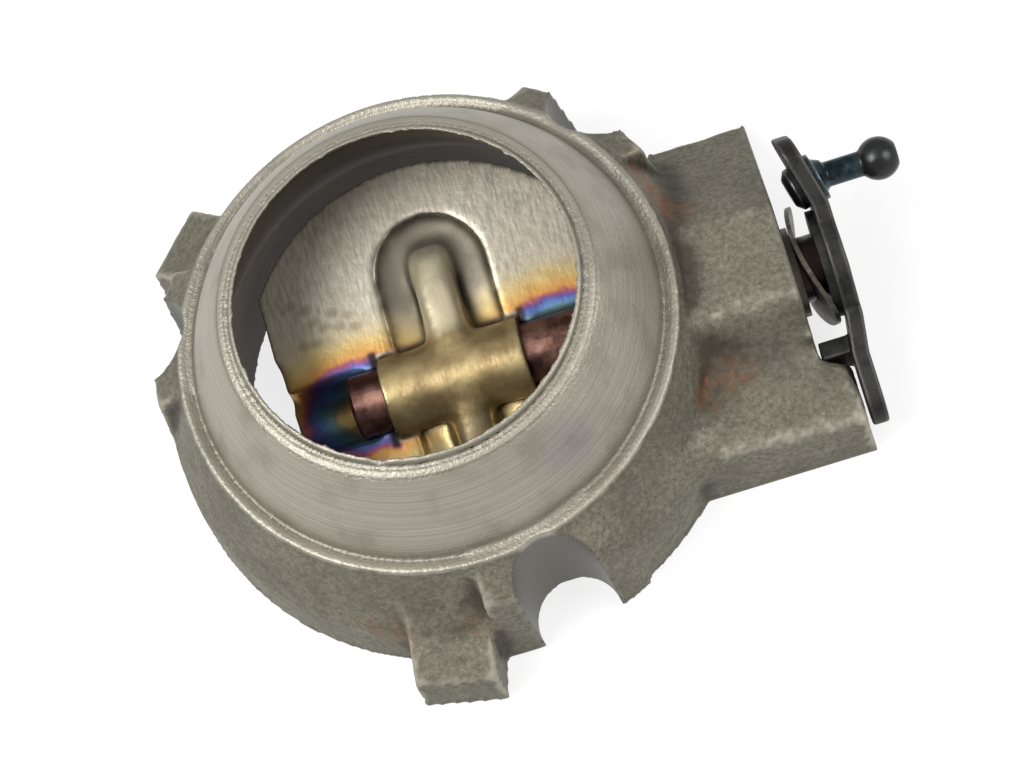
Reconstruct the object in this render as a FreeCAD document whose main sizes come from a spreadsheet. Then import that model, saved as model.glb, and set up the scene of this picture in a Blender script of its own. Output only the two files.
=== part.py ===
import FreeCAD, Part
import math
import os
import Sketcher
from FreeCAD import Placement, Rotation, Vector

# Exhaust heat riser valve. Lengths are in millimetres and angles in degrees.
# The origin is the centre of the three-stud circle, on the flat flange face.
# +Z runs up the gas passage to the ball seat, and +X runs along the shaft to the lever.

# Housing casting
body_height = 42.4  # flange face to the rim of the ball seat
rim_radius = 27.2  # gas outlet at the rim
rim_drop = 2.0  # the turned rim face falls by this to the ball seat
seat_radius = 40.0  # sphere of the ball seat
seat_height = 14.7  # centre of that sphere above the flange face
ledge_radius = 41.0  # sharp edge of the turned ledge
ledge_height = 26.5  # flange face to the ledge edge
ledge_drop = 1.4  # the ledge falls by this to the ball seat
flange_radius = 47.6  # top edge of the round flange
flange_draft = 0.9  # the flange is wider by this at its face
flange_thickness = 10.2
chamber_radius = 35.4  # gas passage around the closed flap
chamber_height = 18.5  # straight part of the gas passage
throat_radius = 31.0  # gas passage where it turns to the rim
throat_height = 31.5  # flange face to that turn

# Three stud notches, the ears beside them and two clamp feet
notch_count = 3
foot_count = 2
stud_circle = 95.25  # diameter of the circle of three studs
notch_radius = 7.1
first_notch_angle = -78.2  # from +X
ear_angle = 31.0  # sector of the two ears beside a notch
ear_stand = 0.9  # ears beyond the flange
ear_lean = 2.6  # ears lean in by this at their top edge
ear_height = 21.0  # outer top edge of the ears
foot_angle = 24.1  # clockwise from its notch
foot_stand = 7.2  # clamp foot beyond the flange
foot_width = 14.0
foot_height = 9.4  # outer top edge of a clamp foot

# Shaft boss, side web and stop block
shaft_offset = 4.3  # shaft axis from the passage axis, towards -Y
shaft_height = 11.8  # shaft axis above the flange face
boss_end = 58.9  # turned end of the shaft boss
boss_wall = 4.05  # boss above the bushings
boss_side = 1.55  # half of the boss top beyond the bushings
boss_round = 2.0  # cast edges of the boss top
flank_reach = 33.2  # foot of the long flank from the shaft axis
flank_edge = 2.0  # upright edge below the long flank
valley_reach = 13.0  # valley beside the boss from the shaft axis
web_wall = 33.6  # outer wall of the side web
web_draft = 1.6  # that wall leans in by this at its top
web_height = 15.4  # side web beside the flange
web_bend = 37.0  # where the side web's top starts to fall
web_angle = 26.0  # sector of the raised flange wall
web_round = 1.6  # cast outer edge of the side web
stop_height = 11.4
stop_reach = 4.8  # stop block beyond the boss end
stop_shoulder = 15.5  # stop wall from the shaft axis

# Shaft, bushings and washers
shaft_radius = 5.4
running_gap = 0.05  # radial gap of the shaft in its bushings
bushing_wall = 1.4
bushing_length = 11.7  # each of the two bushings
thrust_wall = 2.1  # thrust washer beyond the shaft
thrust_thickness = 1.1
spring_wall = 4.95  # bowed washer beyond the shaft
spring_slack = 0.5  # radial slack of the bowed washer on the shaft
spring_thickness = 0.7
spring_bow = 1.6  # height of the bow at the collar's rim
spring_angle = 6.3  # the bowed washer sits tilted on the shaft
spring_fit = 0.02  # bowed washer off the collar's rim
collar_wall = 3.6  # collar beyond the shaft
collar_thickness = 1.3
journal_step = 1.2  # the shaft's end in the lever is smaller by this
journal_flat = 1.0  # depth of its two flats
stake_height = 0.25  # staked end beyond the lever

# Lever
lever_thickness = 2.8
lever_angle = 22.0  # line through both ends of the lever, above +Y
hub_wall = 4.4  # lever around the shaft
arm_angle = 30.0  # arm above +Y
arm_length = 21.6  # arm end from the shaft axis
arm_width = 13.0
arm_corner = 3.6
arm_lean_angle = 14.0  # the arm leans towards the housing
bend_margin = 0.3  # both bends of the lever start beyond the collar by this
tail_angle = 14.0  # tail below -Y
tail_length = 27.6  # tail end from the shaft axis
tail_width = 9.4
tail_gap = 0.35  # tail off the stop block's end
tab_width = 6.6  # stop tab along the stop wall
tab_thickness = 3.1
tab_drop = 1.8  # top of the stop tab below the shaft axis
tab_gap = 0.2  # stop tab off the stop wall
tab_clearance = 0.45  # stop tab off the boss end

# Ball stud
stud_margin = 7.8  # ball stud from the arm's end
ball_radius = 3.57
ball_reach = 9.8  # ball centre beyond the lever's outer face
ball_flat = 3.1  # flat end of the ball from its centre
stem_radius = 2.1
stud_flange = 4.1  # radius of the stud's flange
flange_plate = 0.9
root_radius = 3.1  # foot of the cone between the flange and the stem
root_length = 1.4
shank_radius = 2.4
head_radius = 3.7  # riveted head on the inner side
head_height = 2.0

# Flap
flap_gap = 1.8  # flap's round edge off the chamber wall
flap_half = 27.8  # half distance across the two side flats
flap_shift = 0.8  # flap centre towards the lever
flap_rise = 3.6  # flap centre beyond the shaft axis, in the flap's plane
flap_angle = 11.0  # closed flap, its +Y edge up
sheet_thickness = 1.3
shaft_fit = 0.02  # flap sleeve around the shaft
sleeve_left = 10.4  # sleeve end on the -X side
sleeve_right = 13.8  # sleeve end on the +X side
lance_gap = 0.7  # lanced slot at each sleeve end
lance_margin = 0.7  # lanced slot beyond the sleeve
channel_centre = 2.3  # pressed channels, towards the lever
channel_half = 9.3  # half width of a pressed channel
channel_depth = 1.5
upper_margin = 9.0  # upper channel's end inside the flap's edge
lower_margin = 5.6  # lower channel's end inside the flap's edge
rib_half = 3.5
rib_round = 2.3  # rounded shoulders of a rib
rib_inset = 4.2  # foot of a rib's end inside its channel
rib_slope = 2.6  # length of the slope at a rib's end
rib_crest = 1.0  # low end of a rib above the sheet
weld_radius = 2.2
weld_crown = 0.6  # plug weld beyond the sheet
weld_margin = 0.4  # left plug weld beyond its slot
weld_reach = 3.5  # right plug weld beyond its slot
shaft_margin = 0.3  # shaft's inner end beyond the left weld

# Tools reach past what they cut by this
spare = 1.0

document = FreeCAD.newDocument("exhaust_heat_riser_valve")
sheet = document.addObject("Spreadsheet::Sheet", "Sizes")


class Size:
    """A number together with the sheet formula that gives it."""

    def __init__(self, value, formula):
        self.value = value
        self.formula = formula

    def combine(self, other, sign, result):
        return Size(result, "(%s %s %s)" % (self.formula, sign, as_size(other).formula))

    def __add__(self, other):
        return self.combine(other, "+", self.value + as_size(other).value)

    def __sub__(self, other):
        return self.combine(other, "-", self.value - as_size(other).value)

    def __rsub__(self, other):
        return as_size(other) - self

    def __mul__(self, other):
        return self.combine(other, "*", self.value * as_size(other).value)

    def __truediv__(self, other):
        return self.combine(other, "/", self.value / as_size(other).value)

    def __neg__(self):
        return Size(-self.value, "(0 - %s)" % self.formula)


def as_size(number):
    return number if isinstance(number, Size) else Size(number, repr(float(number)))


def cosine(angle):
    return Size(math.cos(math.radians(angle.value)), "cos(%s * 1 deg)" % angle.formula)


def sine(angle):
    return Size(math.sin(math.radians(angle.value)), "sin(%s * 1 deg)" % angle.formula)


def tangent(angle):
    return Size(math.tan(math.radians(angle.value)), "tan(%s * 1 deg)" % angle.formula)


def root(size):
    return Size(math.sqrt(size.value), "sqrt(%s)" % size.formula)


def fill_sheet(numbers):
    """Put each driving dimension in the sheet under its own name, and return them as Sizes."""
    for row, (name, number) in enumerate(numbers.items(), 1):
        sheet.set("A%d" % row, name)
        sheet.set("B%d" % row, str(number))
        sheet.setAlias("B%d" % row, name)
    document.recompute()
    return {name: Size(number, "Sizes." + name) for name, number in numbers.items()}


# Every size above takes its place in the sheet, and its name stands for the sheet's cell from here on
globals().update(fill_sheet({name: item for name, item in list(globals().items()) if isinstance(item, float)}))



def seat_circle(height):
    """Radius of the ball seat at this height above the flange face."""
    rise = height - seat_height
    return root(seat_radius * seat_radius - rise * rise)


# Sizes that follow from the driving dimensions
shaft_y = -shaft_offset
crest_height = body_height - rim_drop
crest_radius = seat_circle(crest_height)
groove_height = ledge_height - ledge_drop
groove_radius = seat_circle(groove_height)
face_radius = flange_radius + flange_draft
bushing_radius = shaft_radius + running_gap + bushing_wall
bore_radius = shaft_radius + running_gap
boss_half = bushing_radius + boss_side
boss_rise = bushing_radius + boss_wall
stop_end = boss_end + stop_reach
thrust_end = boss_end + thrust_thickness
collar_radius = shaft_radius + collar_wall
spring_bend = (collar_radius * collar_radius + spring_bow * spring_bow) / (spring_bow * 2)
spring_back = spring_bend - spring_thickness
spring_start = thrust_end + spring_bend * (1 - cosine(spring_angle))
spring_front = spring_bow + spring_thickness
spring_reach = (collar_radius + spring_front * sine(spring_angle)) / cosine(spring_angle)
spring_rise = spring_bend - root(spring_back * spring_back - spring_reach * spring_reach)
spring_tip = spring_rise * cosine(spring_angle) + spring_reach * sine(spring_angle)
collar_start = spring_start + spring_tip + spring_fit
lever_inner = collar_start + collar_thickness
lever_outer = lever_inner + lever_thickness
hub_radius = shaft_radius + hub_wall
lever_bend = collar_radius + bend_margin
stud_turn = arm_angle - lever_angle
stud_reach = arm_length - stud_margin
arm_face = lever_outer - (stud_reach * cosine(stud_turn) - lever_bend) * tangent(arm_lean_angle)
journal_radius = shaft_radius - journal_step
journal_half = journal_radius - journal_flat
flap_radius = chamber_radius - flap_gap
sleeve_bore = shaft_radius + shaft_fit
sleeve_radius = sleeve_bore + sheet_thickness
weld_left = sleeve_left + lance_gap + weld_margin + weld_radius
weld_right = sleeve_right + lance_gap + weld_reach + weld_radius
shaft_inner_end = weld_left + weld_radius + shaft_margin


def new_body(name):
    body = document.addObject("PartDesign::Body", name)
    body.Label = name
    return body


def origin_part(body, role):
    return [part for part in body.Origin.OriginFeatures if part.Role == role][0]


def new_sketch(body, name, plane, shift=None, turn=None):
    """A sketch on one of the body's own planes, shifted along its normal or turned about +Z."""
    sketch = body.newObject("Sketcher::SketchObject", name)
    sketch.AttachmentSupport = [(origin_part(body, plane), "")]
    sketch.MapMode = "FlatFace"
    if shift is not None:
        sketch.setExpression("AttachmentOffset.Base.z", shift.formula)
    if turn is not None:
        sketch.AttachmentOffset = Placement(Vector(), Rotation(Vector(0, 1, 0), turn.value))
        sketch.setExpression("AttachmentOffset.Rotation.Angle", turn.formula)
    return sketch


def hold(sketch, kind, geometry, point, size):
    """Hold one point of the sketch at a distance from the sketch origin."""
    index = sketch.addConstraint(Sketcher.Constraint(kind, -1, 1, geometry, point, size.value))
    sketch.setExpression("Constraints[%d]" % index, size.formula)


def hold_radius(sketch, geometry, radius):
    index = sketch.addConstraint(Sketcher.Constraint("Radius", geometry, radius.value))
    sketch.setExpression("Constraints[%d]" % index, radius.formula)


def arc_ends(sketch, geometry, start):
    """The numbers of the start and end points, which an arc may hold the other way round."""
    near = sketch.getPoint(geometry, 1)
    return (1, 2) if near.distanceToPoint(start) < 1e-6 else (2, 1)


def outline(sketch, points, arcs=None):
    """A closed outline through points. arcs maps a side's number to its radius, bulging outwards."""
    arcs = arcs or {}
    corners = [(as_size(x), as_size(y)) for x, y in points]
    count = len(corners)
    first = sketch.GeometryCount
    spots = [Vector(x.value, y.value, 0) for x, y in corners]
    area = sum(spots[i].x * spots[(i + 1) % count].y - spots[(i + 1) % count].x * spots[i].y
               for i in range(count))
    for i in range(count):
        start = spots[i]
        end = spots[(i + 1) % count]
        if i in arcs:
            radius = arcs[i].value
            chord = end - start
            outward = Vector(chord.y, -chord.x, 0) * (1 if area > 0 else -1)
            outward.normalize()
            sag = radius - math.sqrt(radius ** 2 - (chord.Length / 2) ** 2)
            middle = (start + end) * 0.5 + outward * sag
            sketch.addGeometry(Part.Arc(start, middle, end))
        else:
            sketch.addGeometry(Part.LineSegment(start, end))
    ends = [arc_ends(sketch, first + i, spots[i]) for i in range(count)]
    for i in range(count):
        after = (i + 1) % count
        sketch.addConstraint(Sketcher.Constraint(
            "Coincident", first + i, ends[i][1], first + after, ends[after][0]))
    for i, (x, y) in enumerate(corners):
        hold(sketch, "DistanceX", first + i, ends[i][0], x)
        hold(sketch, "DistanceY", first + i, ends[i][0], y)
    for i, radius in arcs.items():
        hold_radius(sketch, first + i, radius)


def circle(sketch, x, y, radius):
    centre = Vector(as_size(x).value, as_size(y).value, 0)
    geometry = sketch.addGeometry(Part.Circle(centre, Vector(0, 0, 1), radius.value))
    hold(sketch, "DistanceX", geometry, 3, as_size(x))
    hold(sketch, "DistanceY", geometry, 3, as_size(y))
    hold_radius(sketch, geometry, radius)


def pad(body, sketch, name, length, midplane=False, reversed_pad=False):
    feature = body.newObject("PartDesign::Pad", name)
    feature.Profile = sketch
    feature.setExpression("Length", length.formula)
    feature.Midplane = midplane
    feature.Reversed = reversed_pad
    document.recompute()
    return feature


def pocket(body, sketch, name, length=None, midplane=False, reversed_cut=False):
    """A pocket of the given length, or one that cuts through both ways."""
    feature = body.newObject("PartDesign::Pocket", name)
    feature.Profile = sketch
    feature.Reversed = reversed_cut
    feature.Midplane = midplane or length is None
    if length is None:
        feature.Type = "ThroughAll"
    else:
        feature.setExpression("Length", length.formula)
    document.recompute()
    return feature


def revolve(body, sketch, name, kind="PartDesign::Revolution", axis="V_Axis", angle=None):
    """A full turn, or the given angle shared by both sides of the sketch."""
    feature = body.newObject(kind, name)
    feature.Profile = sketch
    feature.ReferenceAxis = (sketch, [axis])
    if angle is None:
        feature.Angle = 360
    else:
        feature.setExpression("Angle", angle.formula)
        feature.Midplane = True
    document.recompute()
    return feature


def repeat(body, features, name, count, angle, reverse=False):
    """Repeat features about +Z and make the pattern the body's tip."""
    pattern = body.newObject("PartDesign::PolarPattern", name)
    pattern.Originals = features
    pattern.Axis = (origin_part(body, "Z_Axis"), [""])
    pattern.Angle = angle
    pattern.Occurrences = count
    pattern.Reversed = reverse
    body.Tip = pattern
    document.recompute()


def round_edges(body, feature, name, radius, wanted):
    """Round the edges that the test picks."""
    edges = ["Edge%d" % (i + 1) for i, edge in enumerate(feature.Shape.Edges) if wanted(edge)]
    fillet = body.newObject("PartDesign::Fillet", name)
    fillet.Base = (feature, edges)
    fillet.setExpression("Radius", radius.formula)
    document.recompute()


def is_level(edge, height):
    """A straight edge along the shaft, at this height above the flange face."""
    along_shaft = abs(edge.tangentAt(edge.FirstParameter).x) > 1 - 1e-6
    return along_shaft and abs(edge.CenterOfMass.z - height) < 1e-6


def combine(kind, name, pieces):
    """A boolean of whole pieces: the second is cut from the first, or all are joined or kept in common."""
    result = document.addObject(kind, name)
    result.Label = name
    if kind == "Part::MultiFuse":
        result.Shapes = pieces
    else:
        result.Base, result.Tool = pieces
    return result


def place_on_shaft(piece, start, turn=None):
    """Put a piece's own origin on the shaft axis, at start along +X, and turn it about that axis."""
    if turn is not None:
        piece.Placement = Placement(Vector(), Rotation(Vector(1, 0, 0), turn.value))
        piece.setExpression("Placement.Rotation.Angle", turn.formula)
    piece.setExpression("Placement.Base.x", as_size(start).formula)
    piece.setExpression("Placement.Base.y", shaft_y.formula)
    piece.setExpression("Placement.Base.z", shaft_height.formula)


# Housing
def make_housing():
    body = new_body("housing")
    add_turned_body(body)
    add_boss(body)
    add_side_web(body)
    add_notches(body)
    add_feet(body)
    cut_passage(body)


def add_turned_body(body):
    profile = new_sketch(body, "housing_profile", "XZ_Plane")
    outline(profile, [
        (0, 0),
        (face_radius, 0),
        (flange_radius, flange_thickness),
        (ledge_radius, ledge_height),
        (groove_radius, groove_height),
        (crest_radius, crest_height),
        (rim_radius, body_height),
        (0, body_height),
    ], {4: seat_radius})
    revolve(body, profile, "turned_body")


def add_boss(body):
    """The shaft boss with its long flank towards +Y."""
    profile = new_sketch(body, "boss_profile", "YZ_Plane")
    outline(profile, [
        (shaft_y - valley_reach, 0),
        (shaft_y + flank_reach, 0),
        (shaft_y + flank_reach, flank_edge),
        (shaft_y + boss_half, shaft_height + boss_rise),
        (shaft_y - boss_half, shaft_height + boss_rise),
        (shaft_y - valley_reach, stop_height),
    ])
    boss = pad(body, profile, "shaft_boss", boss_end)
    crown = (shaft_height + boss_rise).value
    round_edges(body, boss, "boss_edges", boss_round, lambda edge: is_level(edge, crown))


def add_side_web(body):
    """The web along -Y that ends in the stop block, and the raised flange wall that it grows from."""
    start = web_bend / 2
    profile = new_sketch(body, "web_profile", "YZ_Plane", start)
    outline(profile, [(-web_wall, 0), (0, 0), (0, web_height), (web_draft - web_wall, web_height)])
    pad(body, profile, "side_web", stop_end - start)

    slope = new_sketch(body, "web_slope", "XZ_Plane", shaft_offset + valley_reach)
    outline(slope, [
        (web_bend, web_height),
        (stop_end, stop_height),
        (stop_end + spare, web_height),
        (web_bend, web_height + spare),
    ])
    pocket(body, slope, "web_slope_cut", web_wall, reversed_cut=True)

    shoulder = -shaft_offset - stop_shoulder
    step = new_sketch(body, "stop_step", "XY_Plane")
    outline(step, [
        (boss_end, shoulder),
        (stop_end + spare, shoulder),
        (stop_end + spare, spare),
        (boss_end, spare),
    ])
    pocket(body, step, "stop_step_cut")

    wall = new_sketch(body, "wall_profile", "XZ_Plane", turn=first_notch_angle + (ear_angle + web_angle) / 2)
    outline(wall, [
        (throat_radius, 0),
        (face_radius, 0),
        (face_radius - web_draft / 2, web_height),
        (throat_radius, web_height),
    ])
    whole = revolve(body, wall, "raised_wall", angle=web_angle)
    round_edges(body, whole, "web_edges", web_round, is_web_edge)


def is_web_edge(edge):
    """The outer top edge of the side web, where it falls to the stop block."""
    centre = edge.CenterOfMass
    along_web = abs(edge.tangentAt(edge.FirstParameter).x) > cosine(Size(30, "30")).value
    falling = stop_height.value < centre.z < web_height.value - spare.value
    return along_web and falling and centre.y < web_draft.value * 2 - web_wall.value


def add_notches(body):
    """Each half-round stud notch with the two ears that flank it."""
    ear_radius = face_radius + ear_stand
    crown = ledge_height - ledge_drop / 2
    ear = new_sketch(body, "ear_profile", "XZ_Plane", turn=first_notch_angle)
    outline(ear, [
        (throat_radius, 0),
        (ear_radius, 0),
        (ear_radius - ear_lean, ear_height),
        (ledge_radius, crown),
        (throat_radius, crown),
    ])
    ears = revolve(body, ear, "ear_sector", angle=ear_angle)
    notch = new_sketch(body, "notch_outline", "XY_Plane")
    reach = stud_circle / 2
    circle(notch, reach * cosine(first_notch_angle), reach * sine(first_notch_angle), notch_radius)
    cut = pocket(body, notch, "stud_notch")
    repeat(body, [ears, cut], "three_notches", notch_count, 360)


def add_feet(body):
    """The clamp feet, which widen the flange beside two of the notches."""
    rise = (ledge_height - foot_height) / 4
    profile = new_sketch(body, "foot_profile", "XZ_Plane", turn=first_notch_angle - foot_angle)
    outline(profile, [
        (throat_radius, 0),
        (face_radius + foot_stand, 0),
        (flange_radius + foot_stand, foot_height),
        (flange_radius, foot_height + rise),
        (ledge_radius, ledge_height - rise),
        (throat_radius, ledge_height - rise),
    ])
    foot = pad(body, profile, "clamp_foot", foot_width, midplane=True)
    repeat(body, [foot], "two_feet", foot_count, 360 / notch_count, reverse=True)


def cut_passage(body):
    """The gas passage and the bore that the bushings are pressed into."""
    chamber = new_sketch(body, "chamber_profile", "XZ_Plane")
    outline(chamber, [
        (0, 0),
        (chamber_radius, 0),
        (chamber_radius, chamber_height),
        (throat_radius, throat_height),
        (rim_radius, body_height),
        (0, body_height),
    ])
    revolve(body, chamber, "gas_passage", kind="PartDesign::Groove")
    bore = new_sketch(body, "bushing_bore", "YZ_Plane", boss_end)
    circle(bore, shaft_y, shaft_height, bushing_radius)
    pocket(body, bore, "bushing_bore_cut", boss_end - rim_radius)


# Rings on the shaft
def make_ring(name, outer, inner, start, end):
    """A plain ring around the shaft axis, from start to end along +X."""
    body = new_body(name)
    rings = new_sketch(body, name + "_rings", "YZ_Plane")
    circle(rings, 0, 0, outer)
    circle(rings, 0, 0, inner)
    pad(body, rings, name + "_pad", end - start)
    place_on_shaft(body, start)


def make_bushings():
    joint = boss_end - bushing_length
    make_ring("inner_bushing", bushing_radius, bore_radius, joint - bushing_length, joint)
    make_ring("outer_bushing", bushing_radius, bore_radius, joint, boss_end)


def make_spring_washer():
    """A flat ring bowed about an upright axis, cut from a bent strip."""
    body = new_body("spring_washer")
    strip = new_sketch(body, "bent_strip", "XY_Plane")
    circle(strip, spring_bend, 0, spring_bend)
    circle(strip, spring_bend, 0, spring_back)
    outer = shaft_radius + spring_wall
    pad(body, strip, "bent_strip_pad", outer * 2 + spare, midplane=True)
    far_side = new_sketch(body, "far_side", "YZ_Plane", spring_bend)
    circle(far_side, 0, 0, spring_bend * 2)
    pocket(body, far_side, "far_side_cut", spring_bend + spare, reversed_cut=True)
    trim = new_sketch(body, "washer_outline", "YZ_Plane")
    circle(trim, 0, 0, outer)
    circle(trim, 0, 0, spring_bend * 2)
    pocket(body, trim, "washer_trim")
    bore = new_sketch(body, "washer_bore", "YZ_Plane")
    circle(bore, 0, 0, shaft_radius + spring_slack)
    pocket(body, bore, "washer_bore_cut")
    place_on_shaft(body, spring_start)
    body.Placement = Placement(body.Placement.Base, Rotation(Vector(0, 0, 1), spring_angle.value))
    body.setExpression("Placement.Rotation.Angle", spring_angle.formula)


# Shaft
def make_shaft():
    """The shaft, with a smaller end that has two flats and is staked over the lever."""
    body = new_body("shaft")
    profile = new_sketch(body, "shaft_profile", "XZ_Plane")
    chamfer = journal_step / 2
    outline(profile, [
        (-shaft_inner_end, 0),
        (lever_outer + stake_height, 0),
        (lever_outer + stake_height, journal_radius - stake_height),
        (lever_outer, journal_radius),
        (lever_inner, journal_radius),
        (lever_inner, shaft_radius),
        (chamfer - shaft_inner_end, shaft_radius),
        (-shaft_inner_end, shaft_radius - chamfer),
    ])
    revolve(body, profile, "turned_shaft", axis="H_Axis")
    cut_flats(body, "journal_flats", lever_inner, lever_thickness + stake_height + spare)
    place_on_shaft(body, 0)


def cut_flats(body, name, start, length):
    """Two flats on both sides of the shaft axis, from start along +X."""
    sketch = new_sketch(body, name, "YZ_Plane", start)
    reach = shaft_radius + spare
    for side in (1, -1):
        outline(sketch, [
            (-reach, journal_half * side),
            (reach, journal_half * side),
            (reach, reach * side),
            (-reach, reach * side),
        ])
    pocket(body, sketch, name + "_cut", length, reversed_cut=True)


# Lever, drawn with both its ends along its own Y axis and turned about the shaft at last
def make_lever():
    """A bent strip trimmed to the lever's outline, with the stop tab and the two holes."""
    plate = combine("Part::Common", "lever_plate", [make_bent_strip(), make_lever_outline()])
    whole = combine("Part::MultiFuse", "lever_and_tab", [plate, make_stop_tab()])
    holes = combine("Part::MultiFuse", "lever_holes", [make_journal_hole(), make_stud_hole()])
    lever = combine("Part::Cut", "lever", [whole, holes])
    place_on_shaft(lever, 0, lever_angle)


def make_bent_strip():
    body = new_body("lever_strip")
    tail_set = lever_inner - stop_end - tail_gap
    arm_end = arm_length + spare
    bends = [
        (-tail_set, -tail_length - spare),
        (-tail_set, -stop_shoulder),
        (as_size(0), -lever_bend),
        (as_size(0), lever_bend),
        (-(arm_end - lever_bend) * tangent(arm_lean_angle), arm_end),
    ]
    edge = new_sketch(body, "lever_edge", "XY_Plane")
    outer_side = [(lever_outer + x, y) for x, y in bends]
    inner_side = [(lever_inner + x, y) for x, y in reversed(bends)]
    outline(edge, outer_side + inner_side)
    pad(body, edge, "lever_strip_pad", (hub_radius + spare) * 2, midplane=True)
    return body


def along(angle, reach, across):
    """A point of the lever's outline, reach along a limb at this angle and across it."""
    return (reach * cosine(angle) - across * sine(angle), reach * sine(angle) + across * cosine(angle))


def make_lever_outline():
    """The hub, the arm with two round corners and the tail with a round end."""
    body = new_body("lever_outline")
    start = boss_end
    depth = lever_outer + spare - start
    hub = new_sketch(body, "hub_outline", "YZ_Plane", start)
    circle(hub, 0, 0, hub_radius)
    pad(body, hub, "hub_pad", depth)

    half = arm_width / 2
    arm = new_sketch(body, "arm_outline", "YZ_Plane", start)
    arm_turn = arm_angle - lever_angle
    outline(arm, [along(arm_turn, reach, across) for reach, across in [
        (as_size(0), -half),
        (arm_length - arm_corner, -half),
        (arm_length, arm_corner - half),
        (arm_length, half - arm_corner),
        (arm_length - arm_corner, half),
        (as_size(0), half),
    ]], {1: arm_corner, 3: arm_corner})
    pad(body, arm, "arm_pad", depth)

    half = tail_width / 2
    tail = new_sketch(body, "tail_outline", "YZ_Plane", start)
    tail_turn = tail_angle - lever_angle
    outline(tail, [along(tail_turn, -reach, across) for reach, across in [
        (as_size(0), -half),
        (tail_length - half, -half),
        (tail_length, as_size(0)),
        (tail_length - half, half),
        (as_size(0), half),
    ]], {1: half, 2: half})
    pad(body, tail, "tail_pad", depth)
    return body


def make_stop_tab():
    """The tab that lies flat beside the stop wall while the flap is closed."""
    tab = document.addObject("Part::Box", "stop_tab")
    start = boss_end + tab_clearance
    y = tab_gap - stop_shoulder
    z = -tab_drop - tab_width
    tab.setExpression("Length", (lever_outer - (lever_inner - stop_end - tail_gap) - start).formula)
    tab.setExpression("Width", tab_thickness.formula)
    tab.setExpression("Height", tab_width.formula)
    tab.Placement = Placement(Vector(), Rotation(Vector(1, 0, 0), -lever_angle.value))
    tab.setExpression("Placement.Rotation.Angle", (-lever_angle).formula)
    tab.setExpression("Placement.Base.x", start.formula)
    tab.setExpression("Placement.Base.y", (y * cosine(lever_angle) + z * sine(lever_angle)).formula)
    tab.setExpression("Placement.Base.z", (z * cosine(lever_angle) - y * sine(lever_angle)).formula)
    return tab


def make_journal_hole():
    """The hole with two flats that keys the lever to the shaft."""
    body = new_body("journal_hole")
    hole = new_sketch(body, "journal_round", "YZ_Plane", lever_inner - spare)
    circle(hole, 0, 0, journal_radius)
    pad(body, hole, "journal_pad", lever_thickness + spare * 2)
    cut_flats(body, "journal_sides", lever_inner - spare, lever_thickness + spare * 2)
    body.Placement = Placement(Vector(), Rotation(Vector(1, 0, 0), -lever_angle.value))
    body.setExpression("Placement.Rotation.Angle", (-lever_angle).formula)
    return body


def seat_on_arm(piece):
    """Put a piece's own origin on the arm's outer face at the stud, square to that face."""
    piece.Placement = Placement(Vector(), Rotation(Vector(0, 0, 1), arm_lean_angle.value))
    piece.setExpression("Placement.Rotation.Angle", arm_lean_angle.formula)
    piece.setExpression("Placement.Base.x", arm_face.formula)
    piece.setExpression("Placement.Base.y", (stud_reach * cosine(stud_turn)).formula)
    piece.setExpression("Placement.Base.z", (stud_reach * sine(stud_turn)).formula)


def make_stud_hole():
    body = new_body("stud_hole")
    hole = new_sketch(body, "stud_round", "YZ_Plane")
    circle(hole, 0, 0, shank_radius)
    pad(body, hole, "stud_hole_pad", (lever_thickness + spare) * 2, midplane=True)
    seat_on_arm(body)
    return body


# Ball stud
def make_ball_stud():
    """A flange and riveted shank square to the leaning arm, and a stem along +X with its ball."""
    stud = combine("Part::MultiFuse", "ball_stud", [make_stud_foot(), make_stud_stem()])
    place_on_shaft(stud, 0, lever_angle)


def make_stud_foot():
    body = new_body("stud_foot")
    back = -lever_thickness * cosine(arm_lean_angle)
    root_end = flange_plate + root_length
    profile = new_sketch(body, "foot_section", "XZ_Plane")
    outline(profile, [
        (back - head_height, 0),
        (root_end, 0),
        (root_end, stem_radius),
        (flange_plate, root_radius),
        (flange_plate, stud_flange),
        (0, stud_flange),
        (0, shank_radius),
        (back, shank_radius),
        (back, head_radius),
        (back - head_height / 2, head_radius),
        (back - head_height, shank_radius),
    ])
    revolve(body, profile, "turned_foot", axis="H_Axis")
    seat_on_arm(body)
    return body


def make_stud_stem():
    body = new_body("stud_stem")
    start = arm_face + flange_plate
    ball_centre = lever_outer + ball_reach
    ball_foot = ball_centre - root(ball_radius * ball_radius - stem_radius * stem_radius)
    profile = new_sketch(body, "stem_section", "XZ_Plane")
    outline(profile, [
        (start, 0),
        (ball_centre + ball_flat, 0),
        (ball_centre + ball_flat, root(ball_radius * ball_radius - ball_flat * ball_flat)),
        (ball_centre, ball_radius),
        (ball_foot, stem_radius),
        (start, stem_radius),
    ], {2: ball_radius, 3: ball_radius})
    revolve(body, profile, "turned_stem", axis="H_Axis")
    body.setExpression("Placement.Base.y", (stud_reach * cosine(stud_turn)).formula)
    body.setExpression("Placement.Base.z", (stud_reach * sine(stud_turn)).formula)
    return body


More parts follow.
